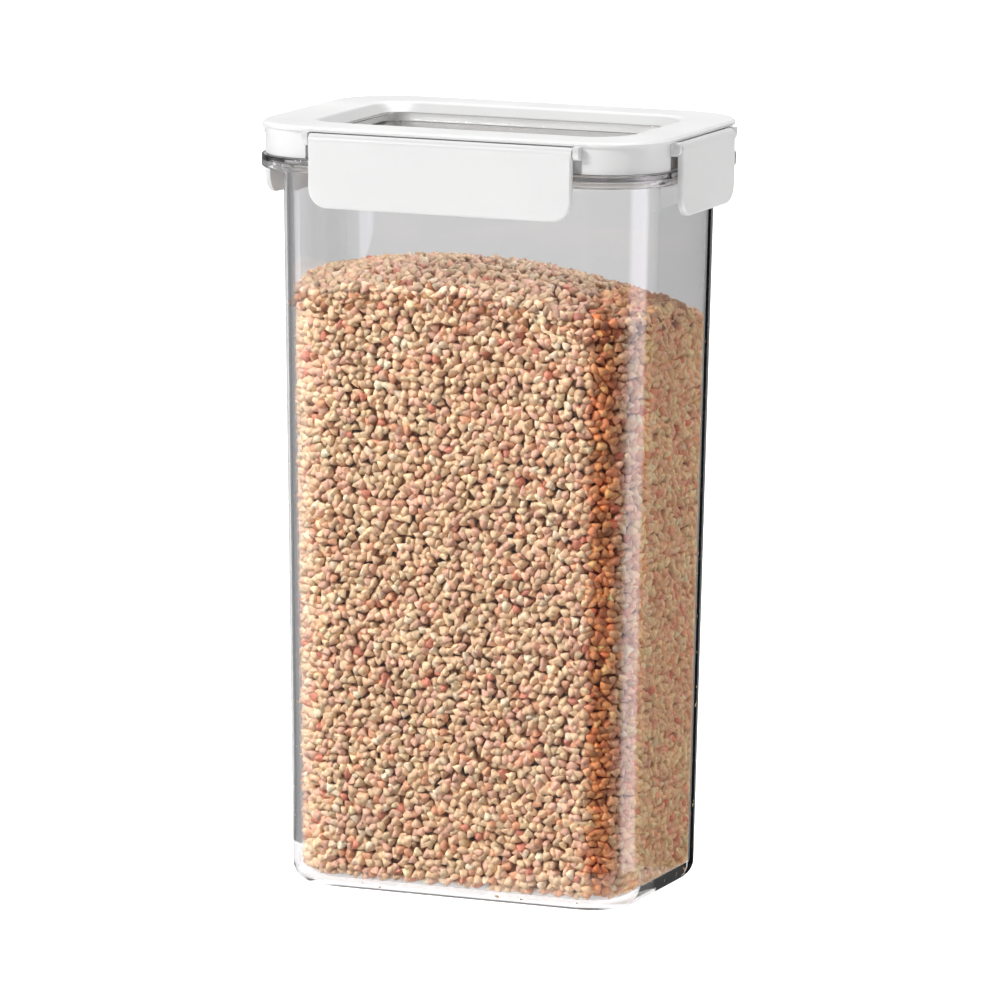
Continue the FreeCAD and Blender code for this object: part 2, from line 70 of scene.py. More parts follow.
FLANGE_ROOT = 1.0 * MM
FLANGE_ROUND = 0.5 * MM
EDGE_ROUND = 0.25 * MM

# Lid window
window_low, window_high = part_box("lid_window")
WING = np.array((window_high.x, window_high.y, 14.8 * MM))
WING_THICKNESS = 1.4 * MM
TRAY = np.array((46.0, 26.5, 7.8)) * MM
TRAY_WALL = 1.6 * MM
PANEL_THICKNESS = 2.6 * MM
TRAY_ROUND = 0.8 * MM

# Dry food shown in the jar
GROAT_LENGTH = 3.65 * MM
GROAT_WIDTH = 3.15 * MM
GROAT_PITCH = 2.52 * MM
GROAT_INSET = 1.7 * MM
LAYER_STEP = 2.2 * MM
HEAP_CROWN = 188.5 * MM
HEAP_SLOPE = np.array((-2.7, -4.9)) * MM
HEAP_DROP = np.array((9.3, 11.5)) * MM
HEAP_SINK = 0.8 * MM

# A groat's form and size
GROAT_BLUNT = 0.62
GROAT_FULLNESS = 0.9
GROAT_LOBES = 0.26
SIZE_SPREAD = 0.07
SIZE_LIMITS = (0.8, 1.08)

# Laying groats: shares of the pitch between rows and at random, room at the wall and on the heap, shares of the
# inset above the floor and below the heap's top, and layers in front of and above the core
ROW_SHARE = 0.866
GROAT_STRAY = 0.3
WALL_STRAY = 0.6 * MM
HEAP_STRAY = 1.2 * MM
WRAP_STEPS = 40
LIFT_SHARE = 0.7
SINK_SHARE = 0.3
CORE_LAYERS = 1.6
CORE_DEPTH = 4

# Groat tints (red, green and blue in light) and how common each is
GROAT_TINTS = np.array((
    (0.90, 0.61, 0.38),
    (0.90, 0.54, 0.38),
    (0.92, 0.68, 0.42),
    (0.84, 0.43, 0.25),
    (0.97, 0.77, 0.55),
    (0.84, 0.62, 0.36),
    (0.76, 0.28, 0.18),
))
GROAT_SHARES = np.array((0.46, 0.22, 0.18, 0.06, 0.05, 0.01, 0.02))
TINT_SPREAD = 0.1
TINT_LIMITS = (0.75, 1.2)

# Painted light and shade on the tints: painted shade by layer, a painted dark band by the bearing in degrees round
# the jar's front right corner, and painted light beside it on the right side, with painted shade in the deeper layers
# there
DEEP_PAINTED_SHADE = (0.5, 0.34, 0.22)
LAYER_PAINTED_SHADES = np.array(((1.0, 1.0, 1.0), (0.57, 0.56, 0.57), DEEP_PAINTED_SHADE, DEEP_PAINTED_SHADE, DEEP_PAINTED_SHADE))
LAYER_DEEP = (0, 0, 1, 1, 1)
CORNER_PAINTED_SHADE = np.array((0.96, 0.54, 0.3))
CORNER_BEARING = 31
CORNER_SPREAD = 17
CORNER_VARIETY = 0.3
SIDE_PAINTED_LIGHT = np.array((1.28, 1.02, 0.8))
SIDE_BEARING = 60
SIDE_SPREAD = 20
SIDE_PAINTED_SHADE_DEPTH = 0.5

# Camera of the photograph: bearing from the front and height angle in degrees, distance, lens on a 36 mm film
CAMERA_BEARING = 22.182
CAMERA_RISE = 9.453
CAMERA_ROLL = 0.467
CAMERA_DISTANCE = 2318.56 * MM
CAMERA_AIM = 115.375 * MM
CAMERA_SIDESTEP = 0.982 * MM
CAMERA_LENS = 279.44
FILM_WIDTH = 36.0
CAMERA_FAR = 100

# Clear plastic: colours face on and edge on, of the wall and of the neck and lid, the colour of light that goes
# straight through, and how many surfaces bend light before it does
CLEAR_BODY = (0.92, 0.92, 0.925)
CLEAR_EDGE = (0.42, 0.43, 0.45)
NECK_BODY = (0.99, 0.99, 0.99)
NECK_EDGE = (0.75, 0.76, 0.77)
NECK_BLEND = 2 * MM
EDGE_BLEND = 0.12
CLEAR_STRAIGHT = (0.98, 0.98, 0.98, 1)
CLEAR_DEPTH = 3.5

# White plastic's painted shade: the lid's recess (half width, half depth, top), the flaps' hinge curves outside it,
# and how dark the painted shade on each is
RECESS = (54.0 * MM, 35.0 * MM, 229.9 * MM)
RECESS_BLEND = 0.8 * MM
RECESS_PAINTED_SHADE = 0.76
RECESS_SIDE = -10.0 * MM
HINGE_BLEND = 0.6 * MM
HINGE_DEPTH = (4.0 * MM, 2.4 * MM)
HINGE_PAINTED_SHADE = 0.84

# Table and surround: strengths of glow for light in general, of painted light near the jar's foot, and to the camera
TABLE_RADIUS = 7.0
TABLE_STEPS = 96
TABLE_GLOW = 0.12
TABLE_PAINTED_LIGHT_NEAR = 0.4
TABLE_GLOW_SEEN = 0.95
FOOT_PAINTED_LIGHT_REACH = 25 * MM
SURROUND = 0.3
SURROUND_SEEN = 1.0

# Reflecting cards: name, side, bearings from the front in degrees, strength, and what is unusual
CARD_HEIGHT = 0.2 * MM
CARD_STEPS = 24
CARD_REACH = (0.06, 2.2)
CARD_NEAR = (0.024, CARD_REACH[0])
CARDS = (
    ("far_left", -1, (-170, -112), 0.3, {"tier": 2, "through": False}),
    ("behind", -1, (-172, -144), 0.8, {"tier": 3, "gloss": False}),
    ("left", -1, (-112, -40), 1.6, {"colour": (0.97, 0.94, 1.0), "fade": 0.4, "tier": 2, "through": False}),
    ("left_rim", -1, (-130, -60), 0.3, {"tier": 2, "gloss": False}),
    ("front", 1, (-75, 10), 0.25, {"through": False}),
    ("front_rim", 1, (-75, 10), 0.3, {"gloss": False}),
    ("dark", 1, (10, 76), 0.02, {"through": False}),
    ("dark_rim", 1, (10, 76), 0.18, {"gloss": False}),
    ("right", 1, (76, 122), 2.8, {"colour": (0.97, 0.92, 1.0), "fade": 0.22}),
    ("back", 1, (122, 170), 0.03, {"through": False}),
    ("right_rim", 1, (122, 170), 0.3, {"gloss": False}),
    ("far_right", 1, (170, 194), 0.45, {}),
    ("near_right", 1, (60, 178), 0.05, {"through": False, "reach": CARD_NEAR}),
    ("near_left", -1, (-178, -75), 0.5, {"through": False, "reach": CARD_NEAR}),
)

# Soft boxes: name, place, size and power in watts
SOFT_BOXES = (
    ("over", (0.1, 0.7, 2.5), 1.4, 52),
    ("front", (-1.2, -1.6, 1.4), 0.6, 34),
    ("right", (1.7, 1.2, 0.8), 0.9, 9),
)

CORNER_STEPS = 18
BEND_STEPS = 14
FLAT_WEIGHT = 100
rng = np.random.default_rng(41)


# Surfaces

def surface(name, points, *face_arrays):
    """Puts points and arrays of faces, each array with its own number of corners, into a smooth mesh object."""
    mesh = bpy.data.meshes.new(name)
    corners = np.concatenate([faces.ravel() for faces in face_arrays])
    sizes = np.concatenate([np.full(len(faces), faces.shape[1]) for faces in face_arrays])
    mesh.vertices.add(len(points))
    mesh.vertices.foreach_set("co", np.asarray(points, np.float32).ravel())
    mesh.loops.add(len(corners))
    mesh.loops.foreach_set("vertex_index", corners.astype(np.int32))
    mesh.polygons.add(len(sizes))
    mesh.polygons.foreach_set("loop_start", (np.cumsum(sizes) - sizes).astype(np.int32))
    mesh.polygons.foreach_set("use_smooth", np.ones(len(sizes), bool))
    mesh.update(calc_edges=True)
    piece = bpy.data.objects.new(name, mesh)
    bpy.context.scene.collection.objects.link(piece)
    return piece


def outline_points(rings, steps):
    """Rounded rectangles, one per ring (half width, half depth, corner radius, height): each point is its corner's
    centre plus the radius times the cosine and sine of an angle that turns once round."""
    half_width, half_depth, radius, height = np.asarray(rings, float).T[..., None]
    turn = np.radians(np.concatenate([np.linspace(90 * k, 90 * k + 90, steps + 1) for k in range(4)]))
    x = np.repeat((1, -1, -1, 1), steps + 1) * (half_width - radius) + radius * np.cos(turn)
    y = np.repeat((1, 1, -1, -1), steps + 1) * (half_depth - radius) + radius * np.sin(turn)
    return np.stack((x, y, np.broadcast_to(height, x.shape)), -1)


def loop_faces(rows, columns):
    """Quads between neighbouring rows of a grid whose columns close into a loop."""
    row, column = np.meshgrid(np.arange(rows - 1), np.arange(columns), indexing="ij")
    here = row * columns + column
    beside = row * columns + (column + 1) % columns
    return np.stack((here, beside, beside + columns, here + columns), -1).reshape(-1, 4)


def moulding(name, rings, steps=CORNER_STEPS):
    """A section carried round a rounded rectangle: rings in order along the section, the first and last closed
    by flat faces, with the surface's normals weighed by face size so that flat walls stay flat."""
    points = outline_points(rings, steps)
    rows, columns, _ = points.shape
    bottom = np.arange(columns)[::-1][None]
    top = (np.arange(columns) + (rows - 1) * columns)[None]
    piece = surface(name, points.reshape(-1, 3), loop_faces(rows, columns), bottom, top)
    weigh = piece.modifiers.new("flat_walls", "WEIGHTED_NORMAL")
    weigh.weight = FLAT_WEIGHT
    weigh.keep_sharp = True
    return piece


def ring(outline, margin, height):
    """One ring: an outline moved outward by a margin, at a height."""
    return np.array([[*(outline + margin), height]])


def rounding(outline, margin, height, radius, start, stop, steps=5):
    """Rings round an edge: the margin and the height follow a circle from one angle to another."""
    angle = np.radians(np.linspace(start, stop, steps + 1))
    sections = outline + (margin + radius * np.cos(angle))[:, None]
    return np.column_stack((sections, height + radius * np.sin(angle)))


def draft(height):
    """How far the jar's wall has leaned out from its foot at a height."""
    return DRAFT * height / RIM


def make_jar(clear):
    """The jar's section: foot ring, rounded foot, leaning wall, flange with its lip turned down, neck, rim, and
    the inside, with rounder corners below the flange, back down to the floor."""
    flange_top = RIM - NECK
    flange_low = flange_top - FLANGE_HEIGHT
    web_low = flange_top - FLANGE_WEB
    hollow = -FOOT_ROUND - FOOT_RING
    floor_bend = FLOOR + FLOOR_ROUND
    inside = draft(RIM) - WALL
    rings = np.concatenate((
        ring(FOOT, hollow - EDGE_ROUND, FOOT_HOLLOW),
        ring(FOOT, hollow, FOOT_HOLLOW - EDGE_ROUND),
        rounding(FOOT, hollow + EDGE_ROUND, EDGE_ROUND, EDGE_ROUND, 180, 270),
        rounding(FOOT, draft(FOOT_ROUND) - FOOT_ROUND, FOOT_ROUND, FOOT_ROUND, -90, -1, BEND_STEPS),
        ring(FOOT, draft(flange_low), flange_low - EDGE_ROUND),
        ring(FOOT, draft(flange_low) + EDGE_ROUND, flange_low),
        rounding(MOUTH, FLANGE_ROOT - EDGE_ROUND, flange_low + EDGE_ROUND, EDGE_ROUND, -90, 0),
        ring(MOUTH, FLANGE_ROOT, web_low - EDGE_ROUND),
        ring(MOUTH, FLANGE_ROOT + EDGE_ROUND, web_low),
        ring(FLANGE, -FLANGE_LIP - EDGE_ROUND, web_low),
        ring(FLANGE, -FLANGE_LIP, web_low - EDGE_ROUND),
        rounding(FLANGE, -FLANGE_LIP + EDGE_ROUND, flange_low + EDGE_ROUND, EDGE_ROUND, 180, 270),
        rounding(FLANGE, -FLANGE_ROUND, flange_low + FLANGE_ROUND, FLANGE_ROUND, -90, 0),
        rounding(FLANGE, -FLANGE_ROUND, flange_top - FLANGE_ROUND, FLANGE_ROUND, 0, 90),
        ring(FOOT, draft(flange_top) + EDGE_ROUND, flange_top),
        ring(FOOT, draft(flange_top), flange_top + EDGE_ROUND),
        rounding(FOOT, draft(RIM) - RIM_ROUND, RIM - RIM_ROUND, RIM_ROUND, 0, 90),
        rounding(FOOT, inside + RIM_ROUND, RIM - RIM_ROUND, RIM_ROUND, 90, 180),
        ring(FOOT, draft(flange_low) - WALL, flange_low + EDGE_ROUND),
        ring(INSIDE, draft(flange_low) - WALL, flange_low - FLANGE_HEIGHT),
        rounding(INSIDE, draft(floor_bend) - WALL - FLOOR_ROUND, floor_bend, FLOOR_ROUND, 0, -90, BEND_STEPS),
    ))
    jar = moulding("jar_clear", rings)
    jar.data.materials.append(clear)
    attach(jar, "jar")
    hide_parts("jar")


def make_window(clear):
    """The lid window's section: underside, wing, the tray's outer wall and rim, and the tray's hollow."""
    low, high = window_low.z, window_high.z
    wing_top = low + WING_THICKNESS
    panel_top = low + PANEL_THICKNESS
    rings = np.concatenate((
        rounding(WING, -EDGE_ROUND, low + EDGE_ROUND, EDGE_ROUND, -90, 0),
        rounding(WING, -EDGE_ROUND, wing_top - EDGE_ROUND, EDGE_ROUND, 0, 90),
        ring(TRAY, EDGE_ROUND, wing_top),
        ring(TRAY, 0, wing_top + EDGE_ROUND),
        rounding(TRAY, -EDGE_ROUND, high - EDGE_ROUND, EDGE_ROUND, 0, 90),
        rounding(TRAY, -TRAY_WALL + EDGE_ROUND, high - EDGE_ROUND, EDGE_ROUND, 90, 180),
        rounding(TRAY, -TRAY_WALL - TRAY_ROUND, panel_top + TRAY_ROUND, TRAY_ROUND, 0, -90),
    ))
    window = moulding("lid_window_clear", rings)
    window.data.materials.append(clear)
    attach(window, "lid")
    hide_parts("lid_window")


# Dry food

def groat_form(around=6, along=5):
    """One groat: the radius follows a sine that is fullest near the blunt end, times a three-lobed wave round the
    axis, and the two ends close in single points."""
    share = np.arange(1, along) / along
    turn = 2 * np.pi * np.arange(around) / around
    girth = np.sin(np.pi * share ** GROAT_BLUNT) ** GROAT_FULLNESS
    radius = 0.5 * GROAT_WIDTH * girth[:, None] * (1 + GROAT_LOBES * np.cos(3 * turn))
    height = np.broadcast_to(((share - 0.5) * GROAT_LENGTH)[:, None], radius.shape)
    body = np.stack((radius * np.cos(turn), radius * np.sin(turn), height), -1).reshape(-1, 3)
    ends = np.array(((0, 0, -0.5), (0, 0, 0.5))) * GROAT_LENGTH
    quads = loop_faces(along - 1, around)
    sides = np.concatenate((quads[:, [0, 1, 2]], quads[:, [0, 2, 3]]))
    column = np.arange(around)
    beside = (column + 1) % around
    low_end, high_end = len(body), len(body) + 1
    last_row = (along - 2) * around
    caps = np.concatenate((
        np.stack((beside, column, np.full(around, low_end)), -1),
        np.stack((column + last_row, beside + last_row, np.full(around, high_end)), -1),
    ))
    return np.concatenate((body, ends)), np.concatenate((sides, caps))


def heap_height(x, y):
    """The heap's top: a crown that slopes evenly across and falls with the square of the distance."""
    across, deep = x / MOUTH[0], y / MOUTH[1]
    return (HEAP_CROWN + HEAP_SLOPE[0] * across + HEAP_SLOPE[1] * deep
            - HEAP_DROP[0] * across ** 2 - HEAP_DROP[1] * deep ** 2)


def honeycomb(width, height):
    """Points of a honeycomb over a width and a height, a groat's pitch apart, each moved a little at random."""
    columns, rows = int(width / GROAT_PITCH), int(height / (GROAT_PITCH * ROW_SHARE))
    column, row = np.meshgrid(np.arange(columns), np.arange(rows))
    shift = rng.uniform(-GROAT_STRAY, GROAT_STRAY, (2, rows, columns))
    across = (column + 0.5 * (row % 2) + shift[0]) * width / columns
    up = (row + 0.5 + shift[1]) * height / rows
    return across.ravel(), up.ravel()


def wall_layer(inset):
    """Places of groats against the jar's inside: a honeycomb wrapped round the inside's outline, moved along the
    outline's normal with the wall's lean and an inset."""
    base = outline_points([[*INSIDE, 0]], WRAP_STEPS)[0, :, :2]
    centre = np.sign(base) * (INSIDE[:2] - INSIDE[2])
    normal = (base - centre) / INSIDE[2]
    closed = np.concatenate((base, base[:1]))
    normals = np.concatenate((normal, normal[:1]))
    steps = np.linalg.norm(np.diff(closed, axis=0), axis=1)
    travel = np.concatenate(((0,), np.cumsum(steps)))
    along, up = honeycomb(travel[-1], HEAP_CROWN - FLOOR)
    height = FLOOR + LIFT_SHARE * inset + up
    margin = draft(height) - WALL - inset - rng.uniform(0, WALL_STRAY, len(up))
    margin -= FLOOR_ROUND * np.clip(1 - (height - FLOOR) / FLOOR_ROUND, 0, 1) ** 2
    along = along % travel[-1]
    x, y = (
        np.interp(along, travel, closed[:, k]) + margin * np.interp(along, travel, normals[:, k])
        for k in range(2)
    )
    below = height < heap_height(x, y) - SINK_SHARE * inset
    return np.stack((x, y, height), -1)[below]


def top_layer(sink):
    """Places of groats on the heap: a honeycomb cut to the jar's inside, dropped onto the heap's top."""
    inside = MOUTH - WALL - GROAT_INSET
    x, y = honeycomb(2 * inside[0], 2 * inside[1])
    x, y = x - inside[0], y - inside[1]
    height = heap_height(x, y)
    reach = inside - DRAFT * (1 - height / RIM)[:, None]
    beyond = np.abs(np.stack((x, y), -1)) - (reach[:, :2] - reach[:, 2:])
    within = np.linalg.norm(np.maximum(beyond, 0), axis=1) < reach[:, 2]
    height = height - sink - rng.uniform(0, HEAP_STRAY, len(x))
    return np.stack((x, y, height), -1)[within]


def random_turns(count):
    """Rotation matrices spread evenly over all directions, from random quaternions."""
    drawn = rng.normal(size=(4, count))
    w, x, y, z = drawn / np.linalg.norm(drawn, axis=0)
    return np.stack((
        1 - 2 * (y * y + z * z), 2 * (x * y - z * w), 2 * (x * z + y * w),
        2 * (x * y + z * w), 1 - 2 * (x * x + z * z), 2 * (y * z - x * w),
        2 * (x * z - y * w), 2 * (y * z + x * w), 1 - 2 * (x * x + y * y),
    ), -1).reshape(count, 3, 3)


def make_food():
    """Fills the jar: two layers against the wall, three on the heap and a dark core of painted shade behind them.
    Each groat's tint is drawn at random, then given painted shade by its layer and painted light and shade by its
    bearing round the jar's front right corner."""
    layers = (
        wall_layer(GROAT_INSET),
        top_layer(HEAP_SINK),
        wall_layer(GROAT_INSET + LAYER_STEP),
        top_layer(HEAP_SINK + LAYER_STEP),
        top_layer(HEAP_SINK + 2 * LAYER_STEP),
    )
    counts = [len(layer) for layer in layers]
    centres = np.concatenate(layers)
    count = len(centres)
    form, triangles = groat_form()
    size = rng.normal(1.0, SIZE_SPREAD, (count, 1, 1)).clip(*SIZE_LIMITS)
    points = centres[:, None] + size * np.einsum("nij,vj->nvi", random_turns(count), form)
    faces = triangles[None] + (np.arange(count) * len(form))[:, None, None]
    groats = surface("groats", points.reshape(-1, 3), faces.reshape(-1, 3))
    tint = GROAT_TINTS[rng.choice(len(GROAT_TINTS), count, p=GROAT_SHARES)]
    # Painted shade on the deeper and heap layers, a painted dark band round the front right corner, and painted light
    # on the right side with painted shade in its deeper layers
    tint = tint * rng.normal(1, TINT_SPREAD, (count, 1)).clip(*TINT_LIMITS) * np.repeat(LAYER_PAINTED_SHADES, counts, axis=0)
    from_corner = centres[:, :2] - np.array((1, -1)) * (FOOT[:2] - FOOT[2])
    bearing = np.degrees(np.arctan2(from_corner[:, 0], -from_corner[:, 1]))
    corner = np.exp(-((bearing - CORNER_BEARING) / CORNER_SPREAD) ** 4)[:, None]
    beside = np.clip((bearing - SIDE_BEARING) / SIDE_SPREAD, 0, 1)[:, None]
    deep = np.repeat(LAYER_DEEP, counts)[:, None]
    tint = tint * (1 - (1 - CORNER_PAINTED_SHADE) * corner) * np.exp(CORNER_VARIETY * corner * rng.normal(size=(count, 1)))
    tint = tint * (1 - (1 - SIDE_PAINTED_LIGHT) * beside) * (1 - SIDE_PAINTED_SHADE_DEPTH * beside * deep)
    colour = np.ones((count, len(form), 4), np.float32)
    colour[..., :3] = tint[:, None].clip(0, 1)
    groats.data.attributes.new("groat_tint_and_shade", "FLOAT_COLOR", "POINT").data.foreach_set("color", colour.ravel())
    groats.data.materials.append(groat_skin())
    # Painted shade: a dark moulding behind the groats stands in for the shaded groats deep inside
    core_inset = WALL + GROAT_INSET + CORE_LAYERS * LAYER_STEP
    core_top = HEAP_CROWN - HEAP_DROP.sum() - CORE_DEPTH * LAYER_STEP
    core = moulding("food_core", np.concatenate((
        ring(FOOT, -core_inset, FLOOR + LAYER_STEP),
        ring(FOOT, draft(core_top) - core_inset, core_top),
    )))
    core.data.materials.append(core_shade())


# Materials

def new_material(name):
    """An empty node material and its output node."""
    material = bpy.data.materials.new(name)
    material.use_nodes = True
    tree = material.node_tree
    tree.nodes.clear()
    return material, tree, tree.nodes.new("ShaderNodeOutputMaterial")


def add(tree, kind, **settings):
    """Adds a node; a setting is one of the node's properties or, by its socket's name, an unlinked input."""
    item = tree.nodes.new(f"ShaderNode{kind}")
    for key, value in settings.items():
        if hasattr(item, key):
            setattr(item, key, value)
        else:
            item.inputs[key.replace("_", " ").title()].default_value = value
    return item


def feed(tree, value, target):
    """Gives an input its value: a link from another node's socket, or a constant."""
    if isinstance(value, bpy.types.NodeSocket):
        tree.links.new(value, target)
    else:
        target.default_value = value


def feed_all(tree, item, inputs):
    """Gives a node's inputs their values by name."""
    for label, value in inputs.items():
        feed(tree, value, item.inputs[label])
    return item


def combine(tree, operation, *values, kind="Math", output=0):
    """Adds a node of arithmetic on its values, which are numbers or, for VectorMath, vectors."""
    item = add(tree, kind, operation=operation)
    for target, value in zip(item.inputs, values):
        feed(tree, value, target)
    return item.outputs[output]


def remap(tree, source, start=0.0, stop=1.0, low=0.0, high=1.0, smooth=False):
    """Maps a value from one range to another, evenly or with soft ends."""
    span = add(tree, "MapRange", interpolation_type="SMOOTHSTEP" if smooth else "LINEAR")
    feed_all(tree, span, {"Value": source, "From Min": start, "From Max": stop, "To Min": low, "To Max": high})
    return span.outputs["Result"]


def spread(tree, source, low, high):
    """Maps a mask from 0..1 to a range."""
    return remap(tree, source, low=low, high=high)


def blend_colours(tree, mask, first, second):
    """Mixes two colours by a mask; each is red, green and blue, or another node's socket."""
    mix = add(tree, "Mix", data_type="RGBA")
    sockets = {item.identifier: item for item in mix.inputs}
    for label, colour in (("A_Color", first), ("B_Color", second)):
        feed(tree, (*colour, 1) if isinstance(colour, tuple) else colour, sockets[label])
    feed(tree, mask, sockets["Factor_Float"])
    return next(item for item in mix.outputs if item.identifier == "Result_Color")


def raise_by(tree, source, distance, strength=1.0):
    """Bump from a height mask."""
    bump = feed_all(tree, add(tree, "Bump"), {"Distance": distance, "Strength": strength, "Height": source})
    return bump.outputs["Normal"]


def choose_shader(tree, output, mask, first, second):
    """Ends a tree in one of two shaders: the first where the mask is 0, the second where it is 1."""
    choice = add(tree, "MixShader")
    for target, source in zip(choice.inputs, (mask, first, second)):
        feed(tree, source, target)
    feed(tree, choice.outputs["Shader"], output.inputs["Surface"])


def dress(tree, output, inputs):
    """Ends a tree in one Principled shader, with its inputs by name."""
    shader = feed_all(tree, add(tree, "BsdfPrincipled"), inputs)
    feed(tree, shader.outputs["BSDF"], output.inputs["Surface"])


def new_group(name, inputs, outputs):
    """An empty shader node group with float sockets: inputs with their usual values, then outputs."""
    tree = bpy.data.node_groups.new(name, "ShaderNodeTree")
    for label, value in inputs.items():
        tree.interface.new_socket(label, in_out="INPUT", socket_type="NodeSocketFloat").default_value = value
    for label in outputs:
        tree.interface.new_socket(label, in_out="OUTPUT", socket_type="NodeSocketFloat")
    return tree, tree.nodes.new("NodeGroupInput"), tree.nodes.new("NodeGroupOutput")


def place_group(tree, group, **values):
    """Places a shared group in a material with its own values."""
    item = tree.nodes.new("ShaderNodeGroup")
    item.node_tree = group
    return feed_all(tree, item, {label.replace("_", " "): value for label, value in values.items()})


def moulded_skin_group():
    """Moulded skin: a fine grain and broad flow marks, both noise on the piece's own coordinates."""
    usual = {"Grain Scale": 4000.0, "Flow Scale": 60.0}
    tree, given, put = new_group("moulded_skin", usual, ("Grain", "Flow"))
    place = add(tree, "TexCoord").outputs["Object"]
    for label, detail in (("Grain", 2.0), ("Flow", 3.0)):
        noise = add(tree, "TexNoise", detail=detail)
        feed_all(tree, noise, {"Vector": place, "Scale": given.outputs[f"{label} Scale"]})
        feed(tree, noise.outputs["Fac"], put.inputs[label])
    return tree


def handling_group():
    """Marks of handling: smudges from a soft broad noise on the piece's own coordinates."""
    tree, given, put = new_group("handling_marks", {"Smudge Scale": 35.0}, ("Smudge",))
    noise = feed_all(tree, add(tree, "TexNoise", detail=4.0), {
        "Vector": add(tree, "TexCoord").outputs["Object"],
        "Scale": given.outputs["Smudge Scale"],
    })
    feed(tree, remap(tree, noise.outputs["Fac"], 0.42, 0.75), put.inputs["Smudge"])
    return tree


MOULDED_SKIN = moulded_skin_group()
HANDLING_MARKS = handling_group()


def clear_plastic():
    """Clear moulded plastic: smooth and glassy, darker where it is seen edge on, less so at the neck and the lid,
    with faint ripples and smudges. Light on its way to the food, or behind several walls, passes straight through."""
    material, tree, output = new_material("clear_plastic_moulded")
    skin = place_group(tree, MOULDED_SKIN, Grain_Scale=900.0, Flow_Scale=28.0)
    marks = place_group(tree, HANDLING_MARKS, Smudge_Scale=30.0)
    edge = add(tree, "LayerWeight", blend=EDGE_BLEND).outputs["Facing"]
    split = add(tree, "SeparateXYZ")
    feed(tree, add(tree, "TexCoord").outputs["Object"], split.inputs["Vector"])
    neck_low = RIM - NECK - FLANGE_HEIGHT
    rise = remap(tree, split.outputs["Z"], neck_low - NECK_BLEND, neck_low, smooth=True)
    wall = blend_colours(tree, edge, CLEAR_BODY, CLEAR_EDGE)
    neck = blend_colours(tree, edge, NECK_BODY, NECK_EDGE)
    shader = feed_all(tree, add(tree, "BsdfPrincipled"), {
        "Base Color": blend_colours(tree, rise, wall, neck),
        "Roughness": spread(tree, marks.outputs["Smudge"], 0.008, 0.03),
        "Normal": raise_by(tree, skin.outputs["Flow"], 0.02 * MM, 0.5),
        "IOR": 1.5,
        "Transmission Weight": 1.0,
    })
    straight = feed_all(tree, add(tree, "BsdfTransparent"), {"Color": CLEAR_STRAIGHT})
    path = add(tree, "LightPath")
    deep = combine(tree, "GREATER_THAN", path.outputs["Transmission Depth"], CLEAR_DEPTH)
    direct = combine(tree, "MAXIMUM", path.outputs["Is Shadow Ray"], deep)
    choose_shader(tree, output, direct, shader.outputs["BSDF"], straight.outputs["BSDF"])
    return material


def white_plastic():
    """White satin plastic: a fine moulded grain in the gloss and the surface, broad faint flow marks in the tone,
    and painted shade inside the lid's recess and on the flaps' hinge curves."""
    material, tree, output = new_material("white_plastic_satin")
    skin = place_group(tree, MOULDED_SKIN, Grain_Scale=2600.0, Flow_Scale=45.0)
    marks = place_group(tree, HANDLING_MARKS, Smudge_Scale=40.0)
    # Painted shade: the tone is darker inside the lid's recess and on the flaps' hinge curves, by place in the
    # piece's own coordinates
    apart = combine(tree, "ABSOLUTE", add(tree, "TexCoord").outputs["Object"], kind="VectorMath")
    split = add(tree, "SeparateXYZ")
    feed(tree, combine(tree, "SUBTRACT", RECESS, apart, kind="VectorMath"), split.inputs["Vector"])
    below = split.outputs["Z"]
    inward = combine(tree, "MINIMUM", split.outputs["X"], split.outputs["Y"])
    sunken = remap(tree, combine(tree, "MINIMUM", inward, below), stop=RECESS_BLEND, smooth=True)
    outer = remap(tree, inward, RECESS_SIDE, RECESS_SIDE - HINGE_BLEND, smooth=True)
    upper = remap(tree, below, *HINGE_DEPTH, smooth=True)
    hinge = combine(tree, "MULTIPLY", outer, upper)
    painted_shade = combine(tree, "MULTIPLY", spread(tree, sunken, 1.0, RECESS_PAINTED_SHADE), spread(tree, hinge, 1.0, HINGE_PAINTED_SHADE))
    softer = feed_all(tree, add(tree, "HueSaturation"), {
        "Color": blend_colours(tree, skin.outputs["Flow"], (0.745, 0.745, 0.745), (0.785, 0.785, 0.78)),
        "Value": painted_shade,
    })
    dress(tree, output, {
        "Base Color": softer.outputs["Color"],
        "Roughness": spread(tree, marks.outputs["Smudge"], 0.30, 0.42),
        "Normal": raise_by(tree, skin.outputs["Grain"], 0.012 * MM, 0.6),
        "IOR": 1.49,
        "Subsurface Weight": 0.25,
        "Subsurface Radius": (1, 1, 1),
        "Subsurface Scale": 1.5 * MM,
    })
    return material


def silicone():
    """Soft milky silicone: matt, a little translucent, dusted in patches."""
    material, tree, output = new_material("silicone_milky")
    skin = place_group(tree, MOULDED_SKIN, Grain_Scale=1800.0, Flow_Scale=70.0)
    dress(tree, output, {
        "Base Color": blend_colours(tree, skin.outputs["Flow"], (0.80, 0.80, 0.79), (0.88, 0.88, 0.87)),
        "Roughness": spread(tree, skin.outputs["Flow"], 0.48, 0.62),
        "Normal": raise_by(tree, skin.outputs["Grain"], 0.01 * MM),
        "IOR": 1.41,
        "Subsurface Weight": 0.2,
        "Subsurface Radius": (1, 1, 1),
        "Subsurface Scale": 4 * MM,
    })
    return material


def pin_steel():
    """Drawn steel wire: bright metal with fine lines in its gloss."""
    material, tree, output = new_material("pin_steel_drawn")
    skin = place_group(tree, MOULDED_SKIN, Grain_Scale=5000.0, Flow_Scale=300.0)
    dress(tree, output, {
        "Base Color": blend_colours(tree, skin.outputs["Flow"], (0.55, 0.55, 0.56), (0.68, 0.68, 0.69)),
        "Metallic": 1.0,
        "Roughness": spread(tree, skin.outputs["Grain"], 0.2, 0.4),
        "Normal": raise_by(tree, skin.outputs["Grain"], 0.004 * MM),
    })
    return material


